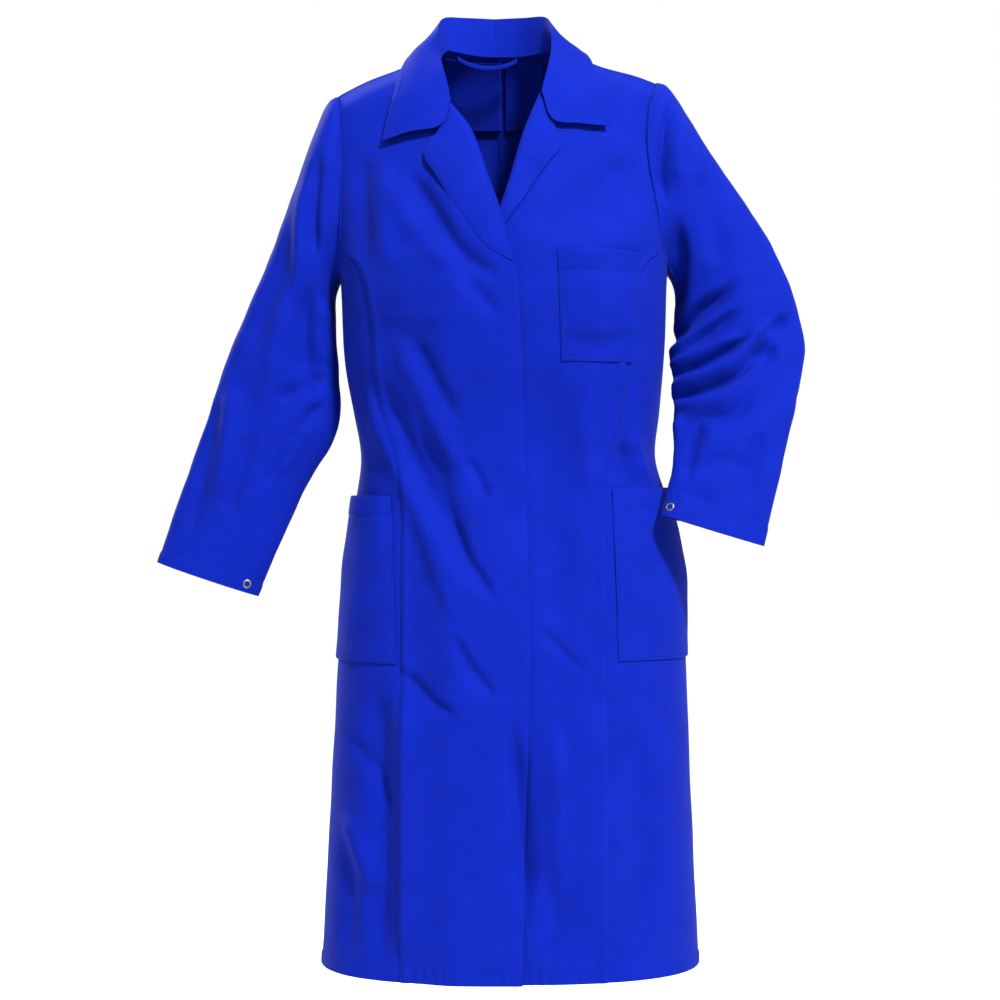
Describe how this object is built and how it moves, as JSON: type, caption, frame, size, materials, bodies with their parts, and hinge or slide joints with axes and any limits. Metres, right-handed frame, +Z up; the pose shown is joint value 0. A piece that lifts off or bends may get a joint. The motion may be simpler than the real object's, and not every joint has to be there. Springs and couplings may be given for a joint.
{
  "type": "lab coat",
  "caption": "Long-sleeved laboratory coat with a notched collar, a concealed snap front, patch pockets, snap cuffs and an inner hanging loop.",
  "frame": {"origin": "the middle of the hanging loop at the back neck seam, where the coat hangs on its hook", "axes": "+Z up, the front of the coat faces -Y, +X towards the wearer's left"},
  "size_m": [0.7267, 0.3079, 1.0756],
  "materials": {
    "coat_cloth": "matt royal blue twill",
    "snap_metal": "antique, burnished"
  },
  "bodies": {
    "coat": {"back_left": "coat_cloth", "back_right": "coat_cloth", "side_left": "coat_cloth", "side_right": "coat_cloth", "front_left_upper": "coat_cloth", "front_right_upper": "coat_cloth", "lapel_left": "coat_cloth", "lapel_right": "coat_cloth", "fly_strip_upper": "coat_cloth", "facing_left_upper": "coat_cloth", "back_neck_facing": "coat_cloth", "collar_upper": "coat_cloth", "collar_under_left": "coat_cloth", "collar_under_right": "coat_cloth", "collar_stand_left": "coat_cloth", "collar_stand_right": "coat_cloth", "chest_pocket": "coat_cloth", "hip_pocket_left": "coat_cloth", "hip_pocket_right": "coat_cloth", "sleeve_left_head": "coat_cloth", "sleeve_right_head": "coat_cloth", "fly_stud_1": "snap_metal", "fly_stud_2": "snap_metal", "fly_socket_1": "snap_metal", "fly_socket_2": "snap_metal"},
    "right_front": {"front_right_lower": "coat_cloth", "fly_strip_lower": "coat_cloth", "fly_socket_3": "snap_metal", "fly_socket_4": "snap_metal", "fly_socket_5": "snap_metal"},
    "left_front": {"front_left_lower": "coat_cloth", "facing_left_lower": "coat_cloth", "fly_stud_3": "snap_metal", "fly_stud_4": "snap_metal", "fly_stud_5": "snap_metal"},
    "right_arm": {"sleeve_right_upper": "coat_cloth", "sleeve_right_elbow": "coat_cloth"},
    "right_forearm": {"sleeve_right_lower": "coat_cloth", "cuff_right_underlap": "coat_cloth", "cuff_right_ring": "snap_metal", "cuff_right_socket": "snap_metal", "cuff_right_stud": "snap_metal", "cuff_right_back_ring": "snap_metal"},
    "left_arm": {"sleeve_left_upper": "coat_cloth", "sleeve_left_elbow": "coat_cloth"},
    "left_forearm": {"sleeve_left_lower": "coat_cloth", "cuff_left_underlap": "coat_cloth", "cuff_left_ring": "snap_metal", "cuff_left_socket": "snap_metal", "cuff_left_stud": "snap_metal", "cuff_left_back_ring": "snap_metal"},
    "loop": {"hanging_loop": "coat_cloth"}
  },
  "joints": [
    {"name": "right_sleeve_raise", "type": "hinge", "parent": "coat", "child": "right_arm", "pos_m": [-0.154, -0.045, -0.075], "axis": [0, 1, 0], "range_deg": [0, 60], "deforming": ["sleeve_right_head"]},
    {"name": "right_elbow_bend", "type": "hinge", "parent": "right_arm", "child": "right_forearm", "pos_m": [-0.227, -0.064, -0.375], "axis": [-0.9397, 0, 0.3419], "range_deg": [0, 60], "deforming": ["sleeve_right_elbow"]},
    {"name": "left_sleeve_raise", "type": "hinge", "parent": "coat", "child": "left_arm", "pos_m": [0.178, -0.045, -0.065], "axis": [0, -1, 0], "range_deg": [0, 60], "deforming": ["sleeve_left_head"]},
    {"name": "left_elbow_bend", "type": "hinge", "parent": "left_arm", "child": "left_forearm", "pos_m": [0.282, -0.091, -0.366], "axis": [-0.991, 0, 0.134], "range_deg": [0, 45], "deforming": ["sleeve_left_elbow"]},
    {"name": "right_front_open", "type": "hinge", "parent": "coat", "child": "right_front", "pos_m": [-0.095, -0.1564, -0.455], "axis": [0, -0.0815, -0.9967], "range_deg": [0, 60]},
    {"name": "left_front_open", "type": "hinge", "parent": "coat", "child": "left_front", "pos_m": [0.131, -0.1617, -0.455], "axis": [0, 0.077, 0.997], "range_deg": [0, 30]},
    {"name": "hanging_loop_flip", "type": "hinge", "parent": "coat", "child": "loop", "pos_m": [0, -0.0161, -0.005], "axis": [-0.9786, -0.206, 0], "range_deg": [0, 130]}
  ],
  "couplings": [
    {"joint": "left_front_open", "follows": "right_front_open", "ratio": 0.5}
  ]
}
